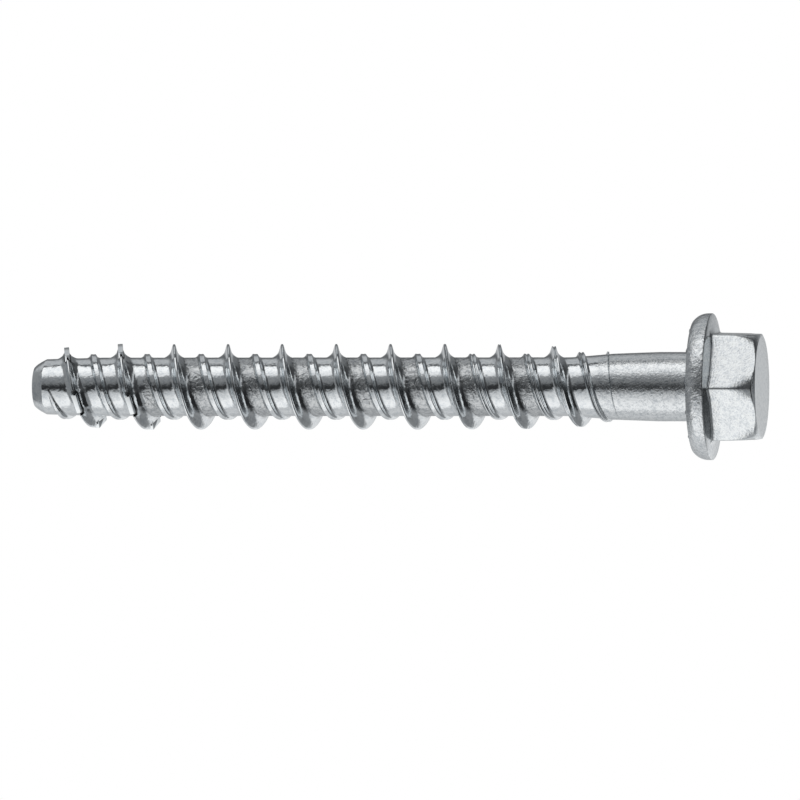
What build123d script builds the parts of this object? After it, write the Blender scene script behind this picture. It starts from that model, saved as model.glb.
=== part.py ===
"""Concrete screw: hexagon flange head, two-start thread and cutting inserts.

The origin is the centre of the head's end face, and +Z runs along the screw to its tip.
A turn of the thread is counted from the +X side, positive towards the tip.
"""
import math
import os

from build123d import *

os.makedirs("parts", exist_ok=True)

# Head
across_flats = 15.0
hex_draft = 1.0                  # degrees that each flat leans in towards the end face
end_face_diameter = 14.4
end_chamfer = 30.0               # degrees from the end face
head_height = 9.55               # end face to the seat of the flange
flange_diameter = 20.7
flange_edge_height = 2.55        # seat to the sharp edge of the rim
flange_cone_rise = 0.6           # rim edge to where the cone meets the hexagon
flange_cone_diameter = 15.8      # where the cone turns into the hexagon's foot
rim_land = 0.6                   # straight part of the rim
rim_round = 2.5                  # radius that the rim's two bevels follow into the seat
seat_bevel = 0.4                 # between the seat and the shank

# Locking ribs under the flange
rib_count = 13
rib_width = 0.7
rib_height = 0.15
rib_length = 1.6
rib_inset = 0.1                  # from the edge of the seat

# Shank, core and tip
under_head_length = 95.0
shank_diameter = 9.78
slim_shank_diameter = 9.32       # where the rolling has squeezed the shank
core_diameter = 8.31
slimming_start = -2.9            # from the end of the high thread, towards the tip
slimming_end = 3.6
core_start = 9.6                 # where the core reaches its diameter
tip_core_diameter = 7.88         # the core is slimmer over the first turn
tip_taper_length = 8.3
tip_length = 1.65                # length of the blunt, rounded end
tip_face_diameter = 5.8
tip_shoulder_diameter = 6.85     # between the tip's face and the core
tip_shoulder_length = 0.6

# Thread
lead = 7.82
high_diameter = 12.14
low_diameter = 9.36
phase_from_tip = 12.3            # tip to where the high crest crosses the +X side
root_diameter = 5.0              # inner side of the threaded sleeve, inside the core
core_cover = 0.03                # thickness of the sleeve over the blank between the ridges
foot_sink = 0.08                 # foot of a ridge below the core past the sleeve, share of its height
sleeve_end = 0.12                # turn where the sleeve ends towards the tip
sleeve_turns = 10
least_height = 0.05              # what a ridge keeps where it dies out
least_width = 0.2                # and the share of its width

# Half section of each ridge: half width, share of the ridge's height
high_section = [(1.26, 0.0), (0.6, 0.32), (0.29, 0.65), (0.0, 1.0)]
low_section = [(0.95, 0.0), (0.0, 1.0)]

# Diameter of each crest at its turns. The high one climbs over the first turn and a half.
high_crest = [
    (1.5, tip_face_diameter),
    (1.35, high_diameter * 0.85),
    (1.0, high_diameter * 0.905),
    (0.0, high_diameter),
    (-7.35, high_diameter),
    (-8.05, high_diameter * 0.94),
    (-8.5, high_diameter * 0.94),
    (-9.0, shank_diameter * 1.03),
    (-9.55, shank_diameter * 0.94),
]
low_crest = [
    (0.78, tip_core_diameter * 0.975),
    (0.53, low_diameter * 0.98),
    (-0.25, low_diameter),
    (-8.45, low_diameter),
    (-9.0, low_diameter * 1.05),
    (-9.5, low_diameter * 1.07),
    (-9.85, shank_diameter * 0.94),
]

# Cutting inserts
insert_count = 8
inserts_per_turn = 4
first_insert_turn = 0.934
insert_length = 2.8
insert_width = 0.72
insert_depth = 1.0               # part of the insert that sits in its pocket
insert_proud = 0.06              # how far its face stands over the crest
pit_length = 0.5                 # open pocket left at each end of an insert

# Swelling of the thread round each insert
boss_wall = 0.2                  # beside the insert
boss_set_back = 0.2              # top of the swelling below the crest
boss_sink = 0.1                  # foot of the swelling below the core
boss_base_width = 2.8
boss_base_length = 5.0
boss_top_length = 4.3
boss_end_width = 0.3

samples_per_turn = 12            # points on the edges of a ridge that changes its height
cut_clearance = 1.0              # how far a cut reaches past the surface

seat_z = head_height
tip_z = head_height + under_head_length
tip_start_z = tip_z - tip_length
tip_taper_z = tip_start_z - tip_taper_length
rim_edge_z = seat_z - flange_edge_height
round_z = rim_edge_z + rim_land
round_centre = flange_diameter / 2 - rim_round
seat_radius = round_centre + math.sqrt(rim_round**2 - (seat_z - round_z) ** 2)
core_radius = core_diameter / 2


def crest_z(turn):
    """Height of the high thread's crest at a turn; the low thread runs half a lead on."""
    return tip_z - phase_from_tip + lead * turn


def crest_radius(turn, crest):
    """Radius of a crest at a turn, on straight lines between its stations."""
    for (turn_a, diameter_a), (turn_b, diameter_b) in zip(crest, crest[1:]):
        if turn >= turn_b:
            share = min(max((turn_a - turn) / (turn_a - turn_b), 0.0), 1.0)
            return (diameter_a + (diameter_b - diameter_a) * share) / 2
    return crest[-1][1] / 2


def core_radius_at(z):
    """Radius of the core, slimmer over the first turn and dropping away in the tip's rounding."""
    share = min(max((z - tip_taper_z) / tip_taper_length, 0.0), 1.0)
    slim_radius = core_radius + (tip_core_diameter / 2 - core_radius) * share
    return slim_radius - max(z - tip_start_z, 0.0)


def section_corners(low, section):
    """Corners of a ridge's section, from its foot on the head side to the one on the tip side."""
    rising = [(low, -1, half_width, share) for half_width, share in section]
    return rising + [(low, 1, half_width, share) for half_width, share in reversed(section[:-1])]


def place(turn, corner):
    """Radius and height of one corner of the thread's section at a turn."""
    low, side, half_width, share = corner
    top = crest_radius(turn, low_crest if low else high_crest)
    middle_z = crest_z(turn) + (lead / 2 if low else 0.0)
    full_height = (low_diameter if low else high_diameter) / 2 - core_radius
    height = max(top - core_radius_at(middle_z), least_height)
    grown = least_width + (1 - least_width) * height / full_height
    z = middle_z + side * half_width * grown
    return top + (share - 1) * max(top - core_radius_at(z), least_height), z


def rail(turn_a, turn_b, corner, turns_on=0, at_root=False):
    """Edge that a corner runs along, or the inner side below it.

    It is a true helix where the section stays as it is, and else a spline.
    """
    steps = max(4, math.ceil((turn_b - turn_a) * samples_per_turn))
    turns = [turn_a + (turn_b - turn_a) * step / steps for step in range(steps + 1)]
    places = [place(turn + turns_on, corner) for turn in turns]
    if at_root:
        places = [(root_diameter / 2, z) for _, z in places]
    radii = [radius for radius, _ in places]
    rise = places[-1][1] - places[0][1]
    if max(radii) - min(radii) < 1e-9 and abs(rise - lead * (turn_b - turn_a)) < 1e-9:
        start = Pos(0, 0, places[0][1]) * Rot(0, 0, 360 * turn_a)
        return (start * Helix(lead, rise, radii[0])).edge()
    points = [
        Vector(radius * math.cos(math.tau * turn), radius * math.sin(math.tau * turn), z)
        for turn, (radius, z) in zip(turns, places)
    ]
    return Edge.make_spline(points, parameters=[step / steps for step in range(steps + 1)])


def strips(rails):
    """Faces between neighbouring rails."""
    return [Face.make_surface_from_curves(a, b) for a, b in zip(rails, rails[1:])]


def end_face(rails, end):
    """Flat face through one end of the rails: 0 is their start, 1 their other end."""
    return Face(Wire.make_polygon([edge @ end for edge in rails], close=True))


def sleeve():
    """Both ridges and the core between them, wound on one turn after the other.

    Each turn is one lead wide. It ends at the foot of the next turn's high ridge and goes over
    into it, so only the first and the last turn have a side wall.
    """
    corners = section_corners(False, high_section) + section_corners(True, low_section)
    faces = []
    for span in range(sleeve_turns):
        turn_a = sleeve_end - sleeve_turns + span
        turn_b = turn_a + 1
        rails = [rail(turn_a, turn_b, corner) for corner in corners]
        rails.append(rail(turn_a, turn_b, corners[0], turns_on=1))
        root = rail(turn_a, turn_b, corners[0], at_root=True)
        next_root = rail(turn_a, turn_b, corners[0], turns_on=1, at_root=True)
        faces += strips(rails) + strips([next_root, root])
        if span == 0:
            faces += strips([root, rails[0]])
            faces.append(end_face([root] + rails + [next_root], 0))
        if span == sleeve_turns - 1:
            faces += strips([rails[-1], next_root])
            faces.append(end_face([root] + rails + [next_root], 1))
    return Solid(Shell(faces))


def ridge_start(low, section, crest):
    """A ridge between the tip and the end of the sleeve, its foot sunk into the core."""
    (foot, _), (next_width, next_share) = section[:2]
    sunk_foot = foot + foot_sink * (foot - next_width) / next_share
    corners = section_corners(low, [(sunk_foot, -foot_sink)] + section[1:])
    bounds = [sleeve_end] + [turn for turn, _ in reversed(crest) if turn > sleeve_end]
    faces = []
    for turn_a, turn_b in zip(bounds, bounds[1:]):
        rails = [rail(turn_a, turn_b, corner) for corner in corners]
        rails.insert(0, rail(turn_a, turn_b, corners[0], at_root=True))
        rails.append(rail(turn_a, turn_b, corners[-1], at_root=True))
        faces += strips(rails + rails[:1])
        if turn_a == bounds[0]:
            faces.append(end_face(rails, 0))
        if turn_b == bounds[-1]:
            faces.append(end_face(rails, 1))
    return Solid(Shell(faces))


def crest_plane(turn):
    """Plane at the high crest: Z points out of the screw, X runs along the thread."""
    angle = math.tau * turn
    out = Vector(math.cos(angle), math.sin(angle), 0)
    round_screw = Vector(-math.sin(angle), math.cos(angle), 0)
    radius = crest_radius(turn, high_crest)
    along = round_screw * (math.tau * radius) + Vector(0, 0, lead)
    return Plane(origin=out * radius + Vector(0, 0, crest_z(turn)), x_dir=along, z_dir=out)


def boss_outline(length, width):
    """Lens-shaped outline, straight beside the insert and narrow at both ends."""
    half_flat = insert_length / 2
    half_end = boss_end_width / 2
    quarter = [(length / 2, half_end), (half_flat, width / 2)]
    upper = quarter + [(-x, y) for x, y in reversed(quarter)]
    return Polygon(*(upper + [(-x, -y) for x, y in upper]), align=None)


def boss(turn):
    """Swelling of the thread that holds an insert."""
    depth = crest_radius(turn, high_crest) - core_radius + boss_sink
    plane = crest_plane(turn)
    top_width = insert_width + 2 * boss_wall
    base = plane.offset(-depth) * boss_outline(boss_base_length, boss_base_width)
    top = plane.offset(-boss_set_back) * boss_outline(boss_top_length, top_width)
    return loft([base, top])


def pocket(turn):
    """Slot for an insert, with an open pit at each of its ends."""
    slot = Box(
        insert_length + 2 * pit_length, insert_width, insert_depth + cut_clearance,
        align=(Align.CENTER, Align.CENTER, Align.MIN),
    )
    return crest_plane(turn).offset(-insert_depth) * slot


def insert(turn):
    """Hard bar that sits on the floor of its pocket and between the pocket's two sides."""
    bar = Box(
        insert_length, insert_width, insert_depth + insert_proud,
        align=(Align.CENTER, Align.CENTER, Align.MIN),
    )
    return crest_plane(turn).offset(-insert_depth) * bar


def blank():
    """Round form of the flange, the shank, the core and the tip."""
    flange_radius = flange_diameter / 2
    shank_radius = shank_diameter / 2
    cone_z = rim_edge_z - flange_cone_rise
    thread_end_z = crest_z(high_crest[-1][0])
    half_angle = math.atan2(seat_z - round_z, seat_radius - round_centre) / 2
    rim_middle = (
        round_centre + rim_round * math.cos(half_angle),
        round_z + rim_round * math.sin(half_angle),
    )

    outline = Polyline(
        (0, cone_z),
        (flange_cone_diameter / 2, cone_z),
        (flange_radius, rim_edge_z),
        (flange_radius, round_z),
        rim_middle,
        (seat_radius, seat_z),
        (shank_radius + seat_bevel, seat_z),
        (shank_radius, seat_z + seat_bevel),
        (shank_radius, thread_end_z + slimming_start),
        (slim_shank_diameter / 2, thread_end_z + slimming_end),
        (core_radius - core_cover, thread_end_z + core_start),
        (core_radius - core_cover, tip_taper_z),
        (tip_core_diameter / 2 - core_cover, tip_start_z),
        (tip_shoulder_diameter / 2, tip_z - tip_shoulder_length),
        (tip_face_diameter / 2, tip_z),
        (0, tip_z),
        (0, cone_z),
    )
    return revolve(Plane.XZ * make_face(outline), Axis.Z)


def hexagon():
    """Hexagon of the head, chamfered at the end face."""
    height = rim_edge_z
    foot = Plane.XY.offset(height) * RegularPolygon(
        across_flats / 2, 6, major_radius=False, rotation=30
    )
    prism = extrude(foot, height, dir=(0, 0, -1), taper=hex_draft)
    slope = math.tan(math.radians(end_chamfer))
    cone_base = end_face_diameter / 2 + height / slope
    cone = loft([Circle(end_face_diameter / 2), Plane.XY.offset(height) * Circle(cone_base)])
    return prism & cone


def lock_ribs():
    """Ring of small radial ribs under the flange."""
    rib = Box(
        rib_length, rib_width, 2 * rib_height,
        align=(Align.MAX, Align.CENTER, Align.CENTER),
    )
    return Pos(0, 0, seat_z) * PolarLocations(seat_radius - rib_inset, rib_count) * rib


insert_turns = [first_insert_turn - i / inserts_per_turn for i in range(insert_count)]

screw_body = blank() + hexagon() + lock_ribs()
screw_body += sleeve()
screw_body += ridge_start(False, high_section, high_crest)
screw_body += ridge_start(True, low_section, low_crest)
for turn in insert_turns:
    screw_body += boss(turn)
for turn in insert_turns:
    screw_body -= pocket(turn)
export_step(screw_body, "parts/screw_body.step")

for number, turn in enumerate(insert_turns, start=1):
    export_step(insert(turn), f"parts/cutting_insert_{number}.step")
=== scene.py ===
"""Looks of the concrete screw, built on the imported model.

Lengths are in millimetres and angles in degrees, unless a comment says otherwise. The screw stands on its
head, +Z to the tip. Turns are counted from the +X side, and turn 0 of the thread is at the height thread_z.
"""
import math

import bmesh
import bpy
import numpy as np
from mathutils import Matrix, Vector

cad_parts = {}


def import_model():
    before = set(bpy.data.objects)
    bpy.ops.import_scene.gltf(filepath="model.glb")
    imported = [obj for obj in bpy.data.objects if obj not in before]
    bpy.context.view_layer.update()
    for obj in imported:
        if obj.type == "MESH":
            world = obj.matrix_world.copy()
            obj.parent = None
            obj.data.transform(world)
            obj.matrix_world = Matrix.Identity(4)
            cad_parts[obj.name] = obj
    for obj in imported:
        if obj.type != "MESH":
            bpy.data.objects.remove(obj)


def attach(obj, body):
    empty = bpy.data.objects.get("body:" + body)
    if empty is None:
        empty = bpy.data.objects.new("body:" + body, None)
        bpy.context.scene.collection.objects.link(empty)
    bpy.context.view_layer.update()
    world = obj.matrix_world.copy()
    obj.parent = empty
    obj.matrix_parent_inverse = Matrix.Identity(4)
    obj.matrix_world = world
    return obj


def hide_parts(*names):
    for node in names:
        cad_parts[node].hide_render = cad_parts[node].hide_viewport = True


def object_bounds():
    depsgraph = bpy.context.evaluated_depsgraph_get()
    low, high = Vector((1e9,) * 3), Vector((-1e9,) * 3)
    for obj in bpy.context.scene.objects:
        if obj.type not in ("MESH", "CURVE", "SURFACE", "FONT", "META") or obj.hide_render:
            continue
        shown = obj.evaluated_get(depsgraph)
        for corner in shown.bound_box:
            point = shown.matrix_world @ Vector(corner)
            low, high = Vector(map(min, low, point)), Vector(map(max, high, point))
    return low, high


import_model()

cad_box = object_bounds()
MM = 0.001

# Overall sizes, from the solids
tip_z = round(cad_box[1][2] / MM, 3)
flange_radius = round(cad_box[1][0] / MM, 3)

# Hexagon and end face. The face's soft edge is given by (outward of its radius, height).
across_flats = 15.0
hex_draft = 1.0
hex_top_z = 6.5
corner_round = 0.4
corner_round_at_end = 4.6
corner_round_z = 3.2
end_face_radius = 7.2
end_edge = [(-0.15, 0), (-0.03, 0.015), (0.07, 0.06)]
end_chamfer = 30.0
chamfer_shares = (0.5, 0.93)
chamfer_edge_steps = (0.05, 0.15)
chamfer_edge_inset = 0.01
flat_shares = (0.25, 0.5, 0.75)

# Flange: a cone round the hexagon's top, a short upright land and a round to the seat. The fillet is given
# by (outward of the hexagon, below the cone), and the rim's edge by (outward, above the edge of the cone).
cone_fillet = [(0.0, 0.3), (0.02, 0.17), (0.08, 0.07), (0.2, 0.01)]
cone_start = 0.3         # outward of the hexagon, where the fillet ends
cone_shares = (0.0, 0.33, 0.66, 0.94)
cone_foot_radius = 7.9
cone_foot_z = 6.4
rim_edge_z = 7.0
rim_land = 0.6
rim_edge = [(-0.05, 0.01), (-0.005, 0.06), (0, 0.15), (0, rim_land)]
rim_round = 2.5
rim_shares = (0.15, 0.3, 0.45, 0.6, 0.75, 0.9, 1.0)

# Seat with its ribs, given by (radius, share of the rib's height), and the foot of the shank, given by
# (outward of the shank, above the seat)
seat_z = 9.55
rib_count = 13
rib_height = 0.15
rib_half_width = 0.45
rib_side = 0.2
rib_radius = 8.5
rib_profile = [(9.3, 0), (9.2, 1), (rib_radius, 1), (7.8, 1), (7.65, 0), (6.5, 0)]
shank_fillet = [(0.46, 0), (0.23, 0.05), (0.06, 0.2), (0, 0.4)]
shank_ring_heights = (11.5, 13.1)

# Blank, which is the screw without its thread, by (height, radius) from the shank to the tip
shank_radius = 4.89
shank_end_z = 14.67
core_radius = 4.155
tip_core_radius = 3.94
tip_taper_z = 94.6
tip_start_z = 102.9
blank_profile = [(shank_end_z, shank_radius), (21.17, 4.66), (27.17, core_radius),
                 (tip_taper_z, core_radius), (tip_start_z, tip_core_radius), (103.3, 3.74), (103.7, 3.52),
                 (104.1, 3.27), (104.4, 3.04), (tip_z, 2.9)]
ridge_base = [(tip_taper_z, core_radius), (tip_start_z, tip_core_radius), (tip_z, 2.3)]

# Ridges of the thread. A crest and a cut-off are given by (turn, radius), and a flank by (distance from the
# ridge's middle, share of its height).
lead = 7.82
thread_below_tip = 12.3
thread_z = tip_z - thread_below_tip
high_radius = 6.07
low_radius = 4.68
seam_turn = -5.9         # the rolled seam shows from here to the head
seam_grows_over = 0.5
seam_depth = 0.16
seam_width = 0.07
least_width = 0.25       # of a ridge that has only begun, as a share of its full width
run_out_z = 21.87
run_out_factor = 2       # below run_out_z the ridges climb this many times less steeply
high_ridge = {
    "start_z": thread_z,
    "full_radius": high_radius,
    "crest": [(-9.75, 4.6), (-9.55, 4.76), (-9.25, 4.8), (-9.0, 5.04), (-8.6, 5.6), (-8.3, high_radius),
              (0.0, high_radius), (1.0, 5.49), (1.35, 5.16), (1.5, 2.9)],
    "cut_off": [(-8.05, 5.7), (-7.35, high_radius)],
    "flank": [(0, 1), (0.1, 0.995), (0.19, 0.95), (0.27, 0.83), (0.34, 0.68), (0.42, 0.50), (0.53, 0.36),
              (0.68, 0.26), (0.85, 0.17), (1.05, 0.09), (1.25, 0.03), (1.4, 0)],
    "seam_turn": seam_turn,
}
low_crest = [(-9.85, 4.6), (-9.5, 5.01), (-9.0, 4.91), (-8.45, low_radius), (-0.25, low_radius),
             (0.53, 4.59), (0.78, 3.84)]
low_ridge = {
    "start_z": thread_z + lead / 2,
    "full_radius": low_radius,
    "crest": low_crest,
    "cut_off": low_crest,
    "flank": [(0, 0.95), (0.1, 0.95), (0.19, 0.98), (0.27, 1), (0.35, 0.95), (0.45, 0.64), (0.58, 0.3),
              (0.72, 0.1), (0.9, 0)],
    "seam_turn": seam_turn - 0.5,
}

# Slight unevenness of the surface, as waves in radians per turn and per millimetre
ripple_height = 0.008
ripple_waves = [(5.3 * math.tau / 3, 2.1), (11, 1.7)]

# Cutting inserts, their pockets with a pit at each end, and the swelling of the thread round them
insert_count = 8
inserts_to_a_turn = 4
first_insert_turn = 0.934
insert_turns = [first_insert_turn - i / inserts_to_a_turn for i in range(insert_count)]
insert_length = 2.8
insert_width = 0.72
insert_depth = 1.0
insert_proud = 0.06
insert_bevel = 0.06
insert_gap = 0.15
pit_length = 0.6
pocket_floor_gap = 0.01
pocket_top = 1.0
pocket_tolerance = 0.02
swelling_half_length = 1.5
swelling_fade = 1.15
swelling_spread = 1.15
swelling_end_spread = 0.9
swelling_below_crest = 0.06
swelling_reach_z = 3

# Where the finishes of the body change. The worked zone is given by two shares of a lead, where a turn of
# the high ridge is at 0, the low ridge at 0.5 and the next turn at 1.
seat_finish_z = seat_z + 0.2
rolled_from_z = 23
worked_phase = (0.57, 0.86)
worked_from_z = 29.5
worked_to_z = 88.0
pockets_from_z = 75
sharp_angle = 40

# Mesh: columns round the screw, and rows of a helical grid between two heights, with plain rings beyond
column_step = 3.0
corner_steps = (0.6, 1.35, 2.1)
shank_top_z = 17.4
thread_top_z = 102.4
high_ridge_rows = (0, 0.05, 0.1, 0.18, 0.26, 0.36, 0.5, 0.68, 0.9, 1.15, 1.4)
low_ridge_rows = (0, 0.08, 0.17, 0.27, 0.36, 0.46, 0.58, 0.74, 0.92)
rows_between = (1.85, 2.4, 2.8)
tip_ring_step = 0.085
tip_edge = 0.02
weld_distance = 2e-6     # metres, and so is the next one
collapse_distance = 1e-7

# Surface: the noise of each of its features, with the scale in waves per metre
speckle_noise = {"scale": 1700, "detail": 4, "roughness": 0.85}
roughness_noise = {"scale": 900, "detail": 2}
wrinkle_noise = {"scale": 800, "detail": 4, "distortion": 1.2}
grain_noise = {"scale": 3600, "detail": 3}
speckle_range = (0.38, 0.54)
speckle_tint = (0.95, 1, 1.04)
zinc_tint = (0.975, 1, 1.01)
roughness_range = (0.3, 0.7)
rougher = 0.05
smoother = 0.03

# Camera, a little toward the head's end and rolled a little
camera_yaw = 10.2
camera_roll = 2.2
camera_distance = 1500.0
camera_aim_z = 51.83
camera_aim_drop = 1.88
camera_lens = 476.3
camera_sensor = 36
camera_clip = 0.05       # metres

# Light tent: brightness by the angle about the screw, where 0 is the camera's side and 90 is up in the
# picture. A strip light lies above the camera and a wide one below it, with dark cards between. Other zones
# take over toward the head and the tip, between two heights of the direction, which is 1 at the tip.
tent_radius = 2.0        # metres
tent_coolness = 0.04
tent_beside = [(-180, 0.53), (-145, 0.47), (-118, 0.60), (-98, 0.54), (-92, 0.62), (-84, 0.92), (-62, 0.92),
               (-40, 0.70), (-24, 0.57), (-15, 0.34), (-8, 0.025), (6, 0.035), (16, 0.17), (42, 0.28),
               (48, 0.78), (60, 0.85), (67, 1.0), (88, 1.0), (92, 0.15), (100, 0.10), (104, 0.48),
               (134, 0.46), (146, 0.22), (156, 0.13), (168, 0.15), (180, 0.53)]
tent_toward_head = [(-180, 0.50), (-168, 0.72), (-150, 0.78), (-125, 0.6), (-108, 0.40), (-90, 0.28),
                    (-60, 0.26), (-28, 0.23), (-15, 0.20), (-5, 0.06), (20, 0.05), (50, 0.07), (58, 0.12),
                    (64, 0.56), (73, 0.56), (79, 0.07), (110, 0.08), (140, 0.15), (166, 0.17), (180, 0.50)]
tent_at_end = [(-180, 0.12), (-162, 0.22), (-112, 0.25), (-90, 0.08), (-75, 0.02), (0, 0.02), (38, 0.05),
               (52, 0.12), (60, 0.5), (72, 0.5), (78, 0.12), (95, 0.05), (165, 0.05), (180, 0.12)]
tent_toward_tip = [(-180, 0.22), (0, 0.22), (180, 0.26)]
tent_zones = [(tent_toward_head, 0.06, -0.14), (tent_at_end, -0.46, -0.57),
              (tent_toward_tip, 0.70, 0.85)]

# World, key lamp and floor, with lengths in metres
world_light = 0.62
key_size = 0.45
key_brightness = 9.0
key_place = (0.45, -0.55, 0.95)
floor_radius = 1.2
floor_z = -0.00002
floor_tone = 0.9
floor_roughness = 0.8


def on_lines(points, place):
    """Value at a place, on straight lines between points of (place, value)."""
    places, values = zip(*points)
    return np.interp(place, places, values)


def crest_z(turn):
    """Height of the high ridge at a turn."""
    return thread_z + lead * turn


def helix_height(z):
    """Height that a point of the run-out would have on a thread of even lead."""
    return np.where(z < run_out_z, run_out_z - (run_out_z - z) * run_out_factor, z)


def drawn_height(z):
    """Where a point of a thread of even lead lies on the screw."""
    return np.where(z < run_out_z, run_out_z - (run_out_z - z) / run_out_factor, z)


def seam_cut(off_middle, turn, first_turn):
    """Depth of the groove that the rolling leaves along a crest."""
    grown = np.clip((first_turn - turn) / seam_grows_over, 0, 1)
    return grown * seam_depth * np.exp(-(off_middle / seam_width) ** 2)


def ridge_radius(ridge, angle_turn, z):
    """Radius of a ridge's surface at each point, and 0 where the ridge isn't."""
    own_turn = (z - ridge["start_z"]) / lead
    nearest = angle_turn + np.round(own_turn - angle_turn)
    off_middle = (own_turn - nearest) * lead
    crest = ridge["crest"]
    base = on_lines(ridge_base, z)
    height = np.maximum(on_lines(crest, nearest) - base, 0.0)
    grown = np.minimum(height / (ridge["full_radius"] - core_radius), 1)
    width = least_width + (1 - least_width) * grown
    share = on_lines(ridge["flank"], np.abs(off_middle / width))
    radius = np.minimum(base + height * share, on_lines(ridge["cut_off"], nearest))
    radius = radius - seam_cut(off_middle, nearest, ridge["seam_turn"])
    present = (nearest >= crest[0][0]) & (nearest <= crest[-1][0]) & (share > 0)
    return np.where(present, radius, 0.0)


def swelling_radius(angle_turn, z):
    """Radius of the high ridge where it swells round the inserts, and 0 elsewhere."""
    radius = np.zeros_like(z)
    base = on_lines(ridge_base, z)
    for turn in insert_turns:
        top = on_lines(high_ridge["crest"], turn)
        climb = math.atan2(lead, math.tau * top)
        around = ((angle_turn - turn + 0.5) % 1.0 - 0.5) * math.tau * top
        up = z - crest_z(turn)
        along = around * math.cos(climb) + up * math.sin(climb)
        across = up * math.cos(climb) - around * math.sin(climb)
        fading = np.clip((np.abs(along) - swelling_half_length) / swelling_fade, 0, 1)
        spread = swelling_spread - (swelling_spread - swelling_end_spread) * fading
        share = on_lines(high_ridge["flank"], np.abs(across / spread)) * (1 - fading ** 2)
        height = (top - swelling_below_crest - base) * share
        near = (np.abs(along) < swelling_half_length + swelling_fade) & (np.abs(up) < swelling_reach_z)
        radius = np.where(near & (height > 0), np.maximum(radius, base + height), radius)
    return radius


def screw_radius(angle_turn, z):
    """Radius of the shank, thread and tip at each point."""
    radius = np.maximum(on_lines(blank_profile, z), swelling_radius(angle_turn, z))
    for ridge in (high_ridge, low_ridge):
        radius = np.maximum(radius, ridge_radius(ridge, angle_turn, helix_height(z)))
    ripple = ripple_height
    for per_turn, per_mm in ripple_waves:
        ripple = ripple * np.sin(per_turn * angle_turn + per_mm * z)
    return radius + ripple


def hexagon_radius(turns, z):
    """Distance of the hexagon's sides from the axis. Its corners are rounded, more so toward the end."""
    half_side = math.radians(30)
    from_flat = np.radians((turns * 360 + 30) % 60 - 30)
    apothem = across_flats / 2 - (rim_edge_z - z) * math.tan(math.radians(hex_draft))
    toward_end = np.clip((corner_round_z - z) / corner_round_z, 0, 1)
    corner = corner_round + (corner_round_at_end - corner_round) * toward_end ** 2
    sharp = apothem / np.cos(from_flat)
    off_corner = half_side - np.abs(from_flat)
    middle = (apothem - corner) / math.cos(half_side)
    inside = np.maximum(corner ** 2 - (middle * np.sin(off_corner)) ** 2, 0)
    rounded = middle * np.cos(off_corner) + np.sqrt(inside)
    round_starts = np.arctan((apothem - corner) * math.tan(half_side) / apothem)
    return np.where(off_corner < half_side - round_starts, rounded, sharp)


def cone_z(radius):
    """Height of the flange's cone at a radius."""
    slope = (rim_edge_z - cone_foot_z) / (flange_radius - cone_foot_radius)
    return cone_foot_z + np.maximum(radius - cone_foot_radius, 0) * slope


def round_rings(turns, profile):
    """Level rings at a profile's points of (radius, height)."""
    ones = np.ones_like(turns)
    return [(radius * ones, z * ones) for radius, z in profile]


def end_rings(turns):
    """Rings of the end face and of its soft edge."""
    profile = [(end_face_radius / 3, 0), (end_face_radius * 2 / 3, 0)]
    profile += [(end_face_radius + outward, z) for outward, z in end_edge]
    return round_rings(turns, profile)


def hexagon_rings(turns):
    """Rings of the chamfer, of the flats and of the fillet where they meet the cone."""
    slope = math.tan(math.radians(end_chamfer))
    # The chamfer meets the flats where both have the same radius. A few rounds find it from a first guess.
    meet_z = 0.3
    for _ in range(7):
        meet = hexagon_radius(turns, meet_z)
        meet_z = (meet - end_face_radius) * slope
    chamfer_start = end_face_radius + end_edge[-1][0]
    rings = []
    for share in chamfer_shares:
        radius = chamfer_start + (meet - chamfer_start) * share
        rings.append((radius, (radius - end_face_radius) * slope))
    for up in chamfer_edge_steps:
        rings.append((hexagon_radius(turns, meet_z + up) - chamfer_edge_inset, meet_z + up))
    top = hexagon_radius(turns, hex_top_z)
    flat_start = meet_z + chamfer_edge_steps[-1]
    flat_end = cone_z(top) - cone_fillet[0][1]
    for share in flat_shares:
        z = flat_start + (flat_end - flat_start) * share
        rings.append((hexagon_radius(turns, z), z))
    for outward, down in cone_fillet:
        rings.append((top + outward, cone_z(top) - down))
    return rings


def flange_rings(turns):
    """Rings of the cone, of the land and of the round that ends at the seat."""
    rings = []
    start = np.maximum(hexagon_radius(turns, hex_top_z) + cone_start, cone_foot_radius)
    for share in cone_shares:
        radius = start + (flange_radius - start) * share
        rings.append((radius, cone_z(radius)))
    profile = [(flange_radius + outward, rim_edge_z + up) for outward, up in rim_edge]
    land_z = rim_edge_z + rim_land
    whole_angle = math.asin((seat_z - land_z) / rim_round)
    for share in rim_shares:
        angle = whole_angle * share
        inward = rim_round * (1 - math.cos(angle))
        profile.append((flange_radius - inward, land_z + rim_round * math.sin(angle)))
    return rings + round_rings(turns, profile)


def seat_rings(turns):
    """Rings of the seat, whose ribs run outward, and of the shank up to its taper."""
    rib_phase = (turns * rib_count + 0.5) % 1.0 - 0.5
    off_rib = np.abs(rib_phase) / rib_count * math.tau * rib_radius
    rib = rib_height * np.clip((rib_half_width - off_rib) / rib_side, 0, 1)
    rings = [(radius * np.ones_like(turns), seat_z + rib * share) for radius, share in rib_profile]
    profile = [(shank_radius + outward, seat_z + up) for outward, up in shank_fillet]
    profile += [(shank_radius, z) for z in (*shank_ring_heights, shank_end_z)]
    return rings + round_rings(turns, profile)


def tip_rings(turns):
    """Rings of the tip, above the helical grid."""
    heights = [*np.arange(thread_top_z, tip_z - tip_edge, tip_ring_step), tip_z - tip_edge, tip_z]
    levels = [np.full_like(turns, z) for z in heights]
    return [(screw_radius(turns, level), level) for level in levels]


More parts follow.
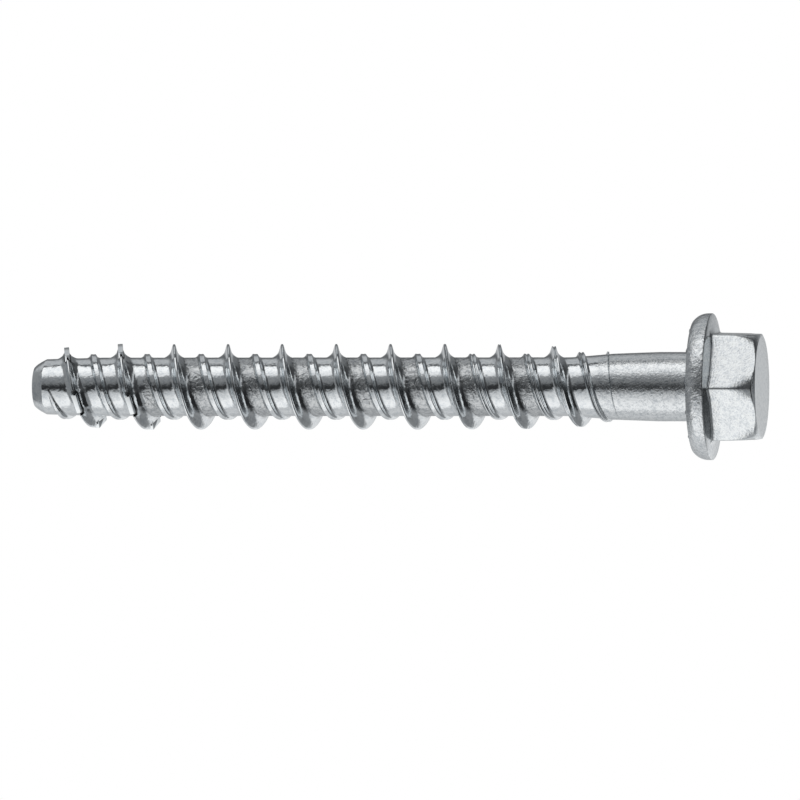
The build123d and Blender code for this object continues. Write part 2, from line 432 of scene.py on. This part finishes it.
def column_turns():
    """Angles of the mesh columns in turns: even, with more beside the hexagon's corners."""
    degrees = set(np.arange(0.0, 360.0, column_step))
    for corner in range(30, 360, 60):
        for step in corner_steps:
            degrees.update({corner - step, corner + step})
    return np.array(sorted(degrees)) / 360.0


def row_offsets():
    """Row heights over one lead, closer together on the ridges. The high ridge is at 0."""
    rows = set()
    for s in high_ridge_rows:
        rows.update({s % lead, -s % lead})
    for s in low_ridge_rows:
        rows.update({lead / 2 + s, lead / 2 - s})
    for s in rows_between:
        rows.update({s, lead - s})
    return np.array(sorted(rows))


class Shell:
    """Surface of the body: rings with one point to a column, and the faces between them."""

    def __init__(self, turns):
        self.turns = turns
        self.count = len(turns)
        self.points = []
        self.faces = []

    def add_points(self, points):
        """Adds points and gives the number of the first one."""
        first = len(self.points)
        self.points += points
        return first

    def add_ring(self, radius, z):
        """Adds a ring and gives the number of its first point."""
        angles = self.turns * math.tau
        return self.add_points(list(zip(radius * np.cos(angles), radius * np.sin(angles), z)))

    def join(self, lower, upper):
        """Faces between two rings, which are given by the numbers of their first points."""
        for i in range(self.count):
            j = (i + 1) % self.count
            self.faces.append((lower + i, lower + j, upper + j, upper + i))

    def add_rings(self, rings):
        """Adds rings one on the other, joined, and gives the first and the last one."""
        firsts = [self.add_ring(radius, z) for radius, z in rings]
        for lower, upper in zip(firsts, firsts[1:]):
            self.join(lower, upper)
        return firsts[0], firsts[-1]

    def close(self, ring, z):
        """Faces between a ring and a new point in the axis."""
        centre = self.add_points([(0.0, 0.0, z)])
        for i in range(self.count):
            self.faces.append((centre, ring + i, ring + (i + 1) % self.count))


def add_thread(shell):
    """Grid whose rows climb one lead in a turn. The end of a row meets the start of one a lead above."""
    offsets = row_offsets()
    first_lead = math.floor((helix_height(shank_top_z) - thread_z) / lead) - 1
    last_lead = math.ceil((thread_top_z - thread_z) / lead)
    row_z = np.concatenate([crest_z(n) + offsets for n in range(first_lead, last_lead + 1)])
    grid_z = drawn_height(row_z[:, None] + lead * shell.turns[None, :])
    grid_z = np.clip(grid_z, shank_top_z, thread_top_z)
    grid_turn = np.broadcast_to(shell.turns[None, :], grid_z.shape)
    radius = screw_radius(grid_turn, grid_z)
    angle = grid_turn * math.tau
    points = np.stack([radius * np.cos(angle), radius * np.sin(angle), grid_z], -1)
    first = shell.add_points([tuple(point) for point in points.reshape(-1, 3)])
    last_row = len(row_z) - 1
    for row in range(last_row):
        for column in range(shell.count):
            next_row, next_column = row, column + 1
            if next_column == shell.count:
                next_row, next_column = row + len(offsets), 0
            if next_row >= last_row:
                continue
            corners = [(row, column), (next_row, next_column),
                       (next_row + 1, next_column), (row + 1, column)]
            heights = [grid_z[corner] for corner in corners]
            # Rows that were cut off at either height of the grid lie on each other and get no faces
            if max(heights) > min(heights):
                shell.faces.append(tuple(first + r * shell.count + c for r, c in corners))


def body_mesh():
    """Rings of the head and shank, grid of the thread and rings of the tip, welded into one surface."""
    shell = Shell(column_turns())
    turns = shell.turns
    rings = end_rings(turns) + hexagon_rings(turns) + flange_rings(turns) + seat_rings(turns)
    end_ring, shank_ring = shell.add_rings(rings)
    shell.close(end_ring, 0.0)
    level = np.full_like(turns, shank_top_z)
    shell.join(shank_ring, shell.add_ring(screw_radius(turns, level), level))
    add_thread(shell)
    _, tip_ring = shell.add_rings(tip_rings(turns))
    shell.close(tip_ring, tip_z)

    mesh = bpy.data.meshes.new("screw_body_fine")
    mesh.from_pydata([tuple(c * MM for c in point) for point in shell.points], [], shell.faces)
    work = bmesh.new()
    work.from_mesh(mesh)
    bmesh.ops.remove_doubles(work, verts=work.verts, dist=weld_distance)
    bmesh.ops.dissolve_degenerate(work, edges=work.edges, dist=collapse_distance)
    bmesh.ops.recalc_face_normals(work, faces=work.faces)
    work.to_mesh(mesh)
    work.free()
    return mesh


def linked(mesh):
    """Puts a mesh into the scene as a piece of the same name."""
    piece = bpy.data.objects.new(mesh.name, mesh)
    bpy.context.scene.collection.objects.link(piece)
    return piece


def crest_matrix(turn):
    """Frame at the high crest: X along the thread, Z out of the screw."""
    angle = math.tau * turn
    radius = float(on_lines(high_ridge["crest"], turn))
    out = Vector((math.cos(angle), math.sin(angle), 0))
    along = Vector((-math.sin(angle), math.cos(angle), 0)) * (math.tau * radius) + Vector((0, 0, lead))
    along.normalize()
    across = out.cross(along)
    matrix = Matrix((along, across, out)).transposed().to_4x4()
    matrix.translation = (out * radius + Vector((0, 0, crest_z(turn)))) * MM
    return matrix


def box_mesh(name, low, high, turn, bevel=0.0):
    """Box between two corners in the frame at the crest."""
    work = bmesh.new()
    bmesh.ops.create_cube(work, size=1.0)
    low = Vector(low)
    high = Vector(high)
    for vertex in work.verts:
        vertex.co = (vertex.co * (high - low) + (high + low) / 2) * MM
    if bevel:
        bmesh.ops.bevel(work, geom=work.edges, offset=bevel * MM, segments=2, affect="EDGES", profile=0.5)
    work.transform(crest_matrix(turn))
    mesh = bpy.data.meshes.new(name)
    work.to_mesh(mesh)
    work.free()
    return mesh


def pocket_box():
    """Corners of a pocket with its end pits, in the frame at the crest."""
    half = insert_length / 2 + pit_length
    side = insert_width / 2 + insert_gap
    return (-half, -side, -insert_depth - pocket_floor_gap), (half, side, pocket_top)


def cut_pockets(body):
    """Cuts the pockets and the pits at their ends out of the thread."""
    work = bmesh.new()
    for turn in insert_turns:
        box = box_mesh("pocket", *pocket_box(), turn)
        work.from_mesh(box)
        bpy.data.meshes.remove(box)
    mesh = bpy.data.meshes.new("pockets")
    work.to_mesh(mesh)
    work.free()
    cutter = linked(mesh)
    modifier = body.modifiers.new("pockets", "BOOLEAN")
    modifier.operation = "DIFFERENCE"
    modifier.solver = "EXACT"
    modifier.object = cutter
    bpy.context.view_layer.update()
    cut = bpy.data.meshes.new_from_object(body.evaluated_get(bpy.context.evaluated_depsgraph_get()))
    body.modifiers.clear()
    body.data = cut
    bpy.data.objects.remove(cutter)


def noise(tree, place, scale, detail, distortion=0.0, roughness=0.5):
    """Noise in the piece's own space."""
    texture = tree.nodes.new("ShaderNodeTexNoise")
    texture.inputs["Scale"].default_value = scale
    texture.inputs["Detail"].default_value = detail
    texture.inputs["Distortion"].default_value = distortion
    texture.inputs["Roughness"].default_value = roughness
    tree.links.new(place.outputs["Object"], texture.inputs["Vector"])
    return texture.outputs["Fac"]


def speckled_colour(tree, place, tone, speckle):
    """Pale zinc with darker speckles."""
    ramp = tree.nodes.new("ShaderNodeValToRGB")
    tones = (tone * (1 - speckle), tone)
    tints = (speckle_tint, zinc_tint)
    for element, position, level, tint in zip(ramp.color_ramp.elements, speckle_range, tones, tints):
        element.position = position
        element.color = (*(level * channel for channel in tint), 1)
    tree.links.new(noise(tree, place, **speckle_noise), ramp.inputs["Fac"])
    return ramp.outputs["Color"]


def uneven_roughness(tree, place, rough):
    """Roughness that varies a little from spot to spot."""
    spread = tree.nodes.new("ShaderNodeMapRange")
    spread.inputs["From Min"].default_value = roughness_range[0]
    spread.inputs["From Max"].default_value = roughness_range[1]
    spread.inputs["To Min"].default_value = rough + rougher
    spread.inputs["To Max"].default_value = rough - smoother
    tree.links.new(noise(tree, place, **roughness_noise), spread.inputs["Value"])
    return spread.outputs["Result"]


def bumps(tree, place, grain_height, wrinkle_height):
    """Wrinkles, where there are any, and the grain on them."""
    normal = None
    for height, texture in ((wrinkle_height, wrinkle_noise), (grain_height, grain_noise)):
        if height:
            bump = tree.nodes.new("ShaderNodeBump")
            bump.inputs["Distance"].default_value = height * MM
            tree.links.new(noise(tree, place, **texture), bump.inputs["Height"])
            if normal:
                tree.links.new(normal, bump.inputs["Normal"])
            normal = bump.outputs["Normal"]
    return normal


def metal(name, tone, rough, speckle, grain_height, wrinkle_height=0):
    """Bare or zinc-coated metal with fine speckle and grain. Heights are in millimetres."""
    material = bpy.data.materials.new(name)
    material.use_nodes = True
    tree = material.node_tree
    shader = tree.nodes["Principled BSDF"]
    shader.inputs["Metallic"].default_value = 1.0
    place = tree.nodes.new("ShaderNodeTexCoord")
    tree.links.new(speckled_colour(tree, place, tone, speckle), shader.inputs["Base Color"])
    tree.links.new(uneven_roughness(tree, place, rough), shader.inputs["Roughness"])
    tree.links.new(bumps(tree, place, grain_height, wrinkle_height), shader.inputs["Normal"])
    return material


def body_finishes():
    """Zinc as it looks on each stretch of the body, and near-black painted shade in the pockets and their
    pits.
    """
    return {
        "shank": metal("galvanized_shank", tone=0.92, rough=0.15, speckle=0.29, grain_height=0.045),
        "rolled": metal("galvanized_rolled", tone=0.94, rough=0.06, speckle=0.18, grain_height=0.012,
                        wrinkle_height=0.04),
        "worked": metal("galvanized_worked", tone=0.68, rough=0.2, speckle=0.36, grain_height=0.03,
                        wrinkle_height=0.2),
        "head": metal("galvanized_head", tone=1.0, rough=0.17, speckle=0.22, grain_height=0.03),
        "rim": metal("galvanized_rim", tone=0.95, rough=0.2, speckle=0.24, grain_height=0.06,
                     wrinkle_height=0.14),
        # The pockets and their pits are painted near black: painted shade in the recesses round the inserts
        "pocket": metal("pocket_painted_shade", tone=0.10, rough=0.4, speckle=0.5, grain_height=0.03),
    }


def in_pocket(place):
    """Whether a place, in metres, lies in a pocket or on its walls."""
    low, high = pocket_box()
    for turn in insert_turns:
        local = crest_matrix(turn).inverted() @ place / MM
        inside = [start - pocket_tolerance < value < end + pocket_tolerance
                  for start, value, end in zip(low, local, high)]
        if all(inside):
            return True
    return False


def in_worked_zone(place):
    """Whether a place lies on the head's side of the high ridge, where the rolling left wrinkles."""
    z = place.z / MM
    phase = ((z - thread_z) / lead - math.atan2(place.y, place.x) / math.tau) % 1.0
    return worked_from_z < z < worked_to_z and worked_phase[0] < phase < worked_phase[1]


def finish_at(place):
    """Name of the body's finish at a place, in metres."""
    z = place.z / MM
    if z < rim_edge_z:
        return "head"
    if z < seat_finish_z:
        return "rim"
    # Faces in the pockets and on their walls get the painted shade
    if z > pockets_from_z and in_pocket(place):
        return "pocket"
    if in_worked_zone(place):
        return "worked"
    return "rolled" if z > rolled_from_z else "shank"


def screw_body():
    """Head, shank, thread and tip, which are one piece of steel."""
    body = linked(body_mesh())
    cut_pockets(body)
    body.data.shade_smooth()
    body.data.set_sharp_from_angle(angle=math.radians(sharp_angle))
    body.data.materials.clear()
    finishes = body_finishes()
    for material in finishes.values():
        body.data.materials.append(material)
    names = list(finishes)
    for face in body.data.polygons:
        face.material_index = names.index(finish_at(face.center))
    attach(body, "root")
    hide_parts("screw_body")


def cutting_inserts():
    """Small hard bars in the pockets."""
    bright = metal("hard_metal", tone=1.0, rough=0.05, speckle=0.08, grain_height=0.004)
    half = insert_length / 2
    side = insert_width / 2
    for number, turn in enumerate(insert_turns, start=1):
        mesh = box_mesh(f"cutting_insert_{number}_fine", (-half, -side, -insert_depth),
                        (half, side, insert_proud), turn, insert_bevel)
        mesh.shade_smooth()
        mesh.set_sharp_from_angle(angle=math.radians(sharp_angle))
        mesh.materials.append(bright)
        piece = linked(mesh)
        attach(piece, "root")
        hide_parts(f"cutting_insert_{number}")


def camera():
    """Long lens from the -Y side. The picture's right is toward the head, and its top toward +X."""
    yaw = math.radians(camera_yaw)
    roll = math.radians(camera_roll)
    up = Vector((math.cos(roll), math.sin(roll), 0))
    side = Vector((math.sin(roll), -math.cos(roll), 0))
    head = Vector((0, 0, -1))
    back = side * math.cos(yaw) + head * math.sin(yaw)
    right = head * math.cos(yaw) - side * math.sin(yaw)
    aim = Vector((0, 0, camera_aim_z)) - up * camera_aim_drop
    data = bpy.data.cameras.new("camera")
    data.sensor_width = camera_sensor
    data.lens = camera_lens
    data.clip_start = camera_clip
    piece = bpy.data.objects.new("camera", data)
    bpy.context.scene.collection.objects.link(piece)
    matrix = Matrix((right, up, back)).transposed().to_4x4()
    matrix.translation = (aim + back * camera_distance) * MM
    piece.matrix_world = matrix
    bpy.context.scene.camera = piece


def angle_about_screw(tree, axes):
    """Angle of a direction about the screw, from 0 at -180 degrees to 1 at 180."""
    toward_camera = tree.nodes.new("ShaderNodeMath")
    toward_camera.operation = "MULTIPLY"
    toward_camera.inputs[1].default_value = -1
    tree.links.new(axes.outputs["Y"], toward_camera.inputs[0])
    about = tree.nodes.new("ShaderNodeMath")
    about.operation = "ARCTAN2"
    tree.links.new(axes.outputs["X"], about.inputs[0])
    tree.links.new(toward_camera.outputs["Value"], about.inputs[1])
    angle = tree.nodes.new("ShaderNodeMapRange")
    angle.inputs["From Min"].default_value = -math.pi
    angle.inputs["From Max"].default_value = math.pi
    tree.links.new(about.outputs["Value"], angle.inputs["Value"])
    return angle.outputs["Result"]


def brightness_ramp(tree, angle, stops):
    """Brightness of the tent by the angle, on straight lines between its stops. Dark cards are cooler."""
    ramp = tree.nodes.new("ShaderNodeValToRGB")
    elements = ramp.color_ramp.elements
    elements.remove(elements[1])
    elements[0].position = (stops[0][0] + 180) / 360
    for degrees, _ in stops[1:]:
        elements.new((degrees + 180) / 360)
    for element, (_, brightness) in zip(elements, stops):
        cool = tent_coolness * (1 - brightness)
        element.color = (brightness * (1 - cool), brightness, brightness * (1 + cool), 1)
    tree.links.new(angle, ramp.inputs["Fac"])
    return ramp.outputs["Color"]


def blended(tree, axes, colour, other, from_z, to_z):
    """The other colour takes over between two heights of the direction."""
    share = tree.nodes.new("ShaderNodeMapRange")
    share.interpolation_type = "SMOOTHSTEP"
    share.inputs["From Min"].default_value = from_z
    share.inputs["From Max"].default_value = to_z
    tree.links.new(axes.outputs["Z"], share.inputs["Value"])
    mix = tree.nodes.new("ShaderNodeMix")
    mix.data_type = "RGBA"
    tree.links.new(share.outputs["Result"], mix.inputs["Factor"])
    # The mix has a set of sockets for each kind of data, and these are the ones for colours
    tree.links.new(colour, mix.inputs[6])
    tree.links.new(other, mix.inputs[7])
    return mix.outputs[2]


def tent_material():
    """Panels and cards of the light tent, by the direction from the screw."""
    material = bpy.data.materials.new("tent")
    material.use_nodes = True
    tree = material.node_tree
    tree.nodes.remove(tree.nodes["Principled BSDF"])
    place = tree.nodes.new("ShaderNodeTexCoord")
    direction = tree.nodes.new("ShaderNodeVectorMath")
    direction.operation = "NORMALIZE"
    tree.links.new(place.outputs["Object"], direction.inputs[0])
    axes = tree.nodes.new("ShaderNodeSeparateXYZ")
    tree.links.new(direction.outputs["Vector"], axes.inputs["Vector"])
    angle = angle_about_screw(tree, axes)
    colour = brightness_ramp(tree, angle, tent_beside)
    for stops, from_z, to_z in tent_zones:
        colour = blended(tree, axes, colour, brightness_ramp(tree, angle, stops), from_z, to_z)
    glow = tree.nodes.new("ShaderNodeEmission")
    tree.links.new(colour, glow.inputs["Color"])
    tree.links.new(glow.outputs["Emission"], tree.nodes["Material Output"].inputs["Surface"])
    return material


def tent():
    """Light tent round the screw. It is seen only in the reflections on the metal."""
    work = bmesh.new()
    bmesh.ops.create_uvsphere(work, u_segments=48, v_segments=24, radius=tent_radius)
    mesh = bpy.data.meshes.new("tent")
    work.to_mesh(mesh)
    work.free()
    mesh.materials.append(tent_material())
    piece = linked(mesh)
    piece.visible_camera = False
    piece.visible_diffuse = False
    piece.visible_transmission = False
    piece.visible_shadow = False


def world():
    """White behind the screw, also in metal and glass, and even soft light on the floor."""
    room = bpy.data.worlds.new("room")
    bpy.context.scene.world = room
    room.use_nodes = True
    nodes = room.node_tree.nodes
    links = room.node_tree.links
    soft = nodes["Background"]
    soft.inputs["Color"].default_value = (world_light, world_light, world_light, 1)
    white = nodes.new("ShaderNodeBackground")
    white.inputs["Color"].default_value = (1, 1, 1, 1)
    path = nodes.new("ShaderNodeLightPath")
    seen = path.outputs["Is Camera Ray"]
    for ray in ("Is Glossy Ray", "Is Transmission Ray"):
        either = nodes.new("ShaderNodeMath")
        either.operation = "MAXIMUM"
        links.new(seen, either.inputs[0])
        links.new(path.outputs[ray], either.inputs[1])
        seen = either.outputs["Value"]
    mix = nodes.new("ShaderNodeMixShader")
    links.new(seen, mix.inputs["Fac"])
    links.new(soft.outputs["Background"], mix.inputs[1])
    links.new(white.outputs["Background"], mix.inputs[2])
    links.new(mix.outputs["Shader"], nodes["World Output"].inputs["Surface"])


def key_lamp():
    """Soft lamp above, which casts the screw's shadow on the floor."""
    lamp = bpy.data.lights.new("key", "AREA")
    lamp.shape = "SQUARE"
    lamp.size = key_size
    lamp.energy = key_brightness * math.pi * key_size ** 2
    piece = bpy.data.objects.new("key", lamp)
    bpy.context.scene.collection.objects.link(piece)
    piece.location = Vector(key_place)
    piece.rotation_euler = (-piece.location).to_track_quat("-Z", "Y").to_euler()
    piece.visible_glossy = False


def floor_material():
    """Pale from above and clear from below."""
    material = bpy.data.materials.new("floor")
    material.use_nodes = True
    nodes = material.node_tree.nodes
    links = material.node_tree.links
    shader = nodes["Principled BSDF"]
    shader.inputs["Base Color"].default_value = (floor_tone, floor_tone, floor_tone, 1)
    shader.inputs["Roughness"].default_value = floor_roughness
    clear = nodes.new("ShaderNodeBsdfTransparent")
    side = nodes.new("ShaderNodeNewGeometry")
    mix = nodes.new("ShaderNodeMixShader")
    links.new(side.outputs["Backfacing"], mix.inputs["Fac"])
    links.new(shader.outputs["BSDF"], mix.inputs[1])
    links.new(clear.outputs["BSDF"], mix.inputs[2])
    links.new(mix.outputs["Shader"], nodes["Material Output"].inputs["Surface"])
    return material


def floor():
    """Floor under the head. From below it lets the camera through."""
    work = bmesh.new()
    bmesh.ops.create_circle(work, cap_ends=True, segments=64, radius=floor_radius)
    mesh = bpy.data.meshes.new("floor")
    work.to_mesh(mesh)
    work.free()
    mesh.materials.append(floor_material())
    piece = linked(mesh)
    piece.location.z = floor_z
    piece.visible_diffuse = False
    piece.visible_glossy = False
    piece.visible_transmission = False
    piece.visible_shadow = False


screw_body()
cutting_inserts()
camera()
tent()
world()
key_lamp()
floor()
bpy.context.scene.view_settings.view_transform = "Standard"
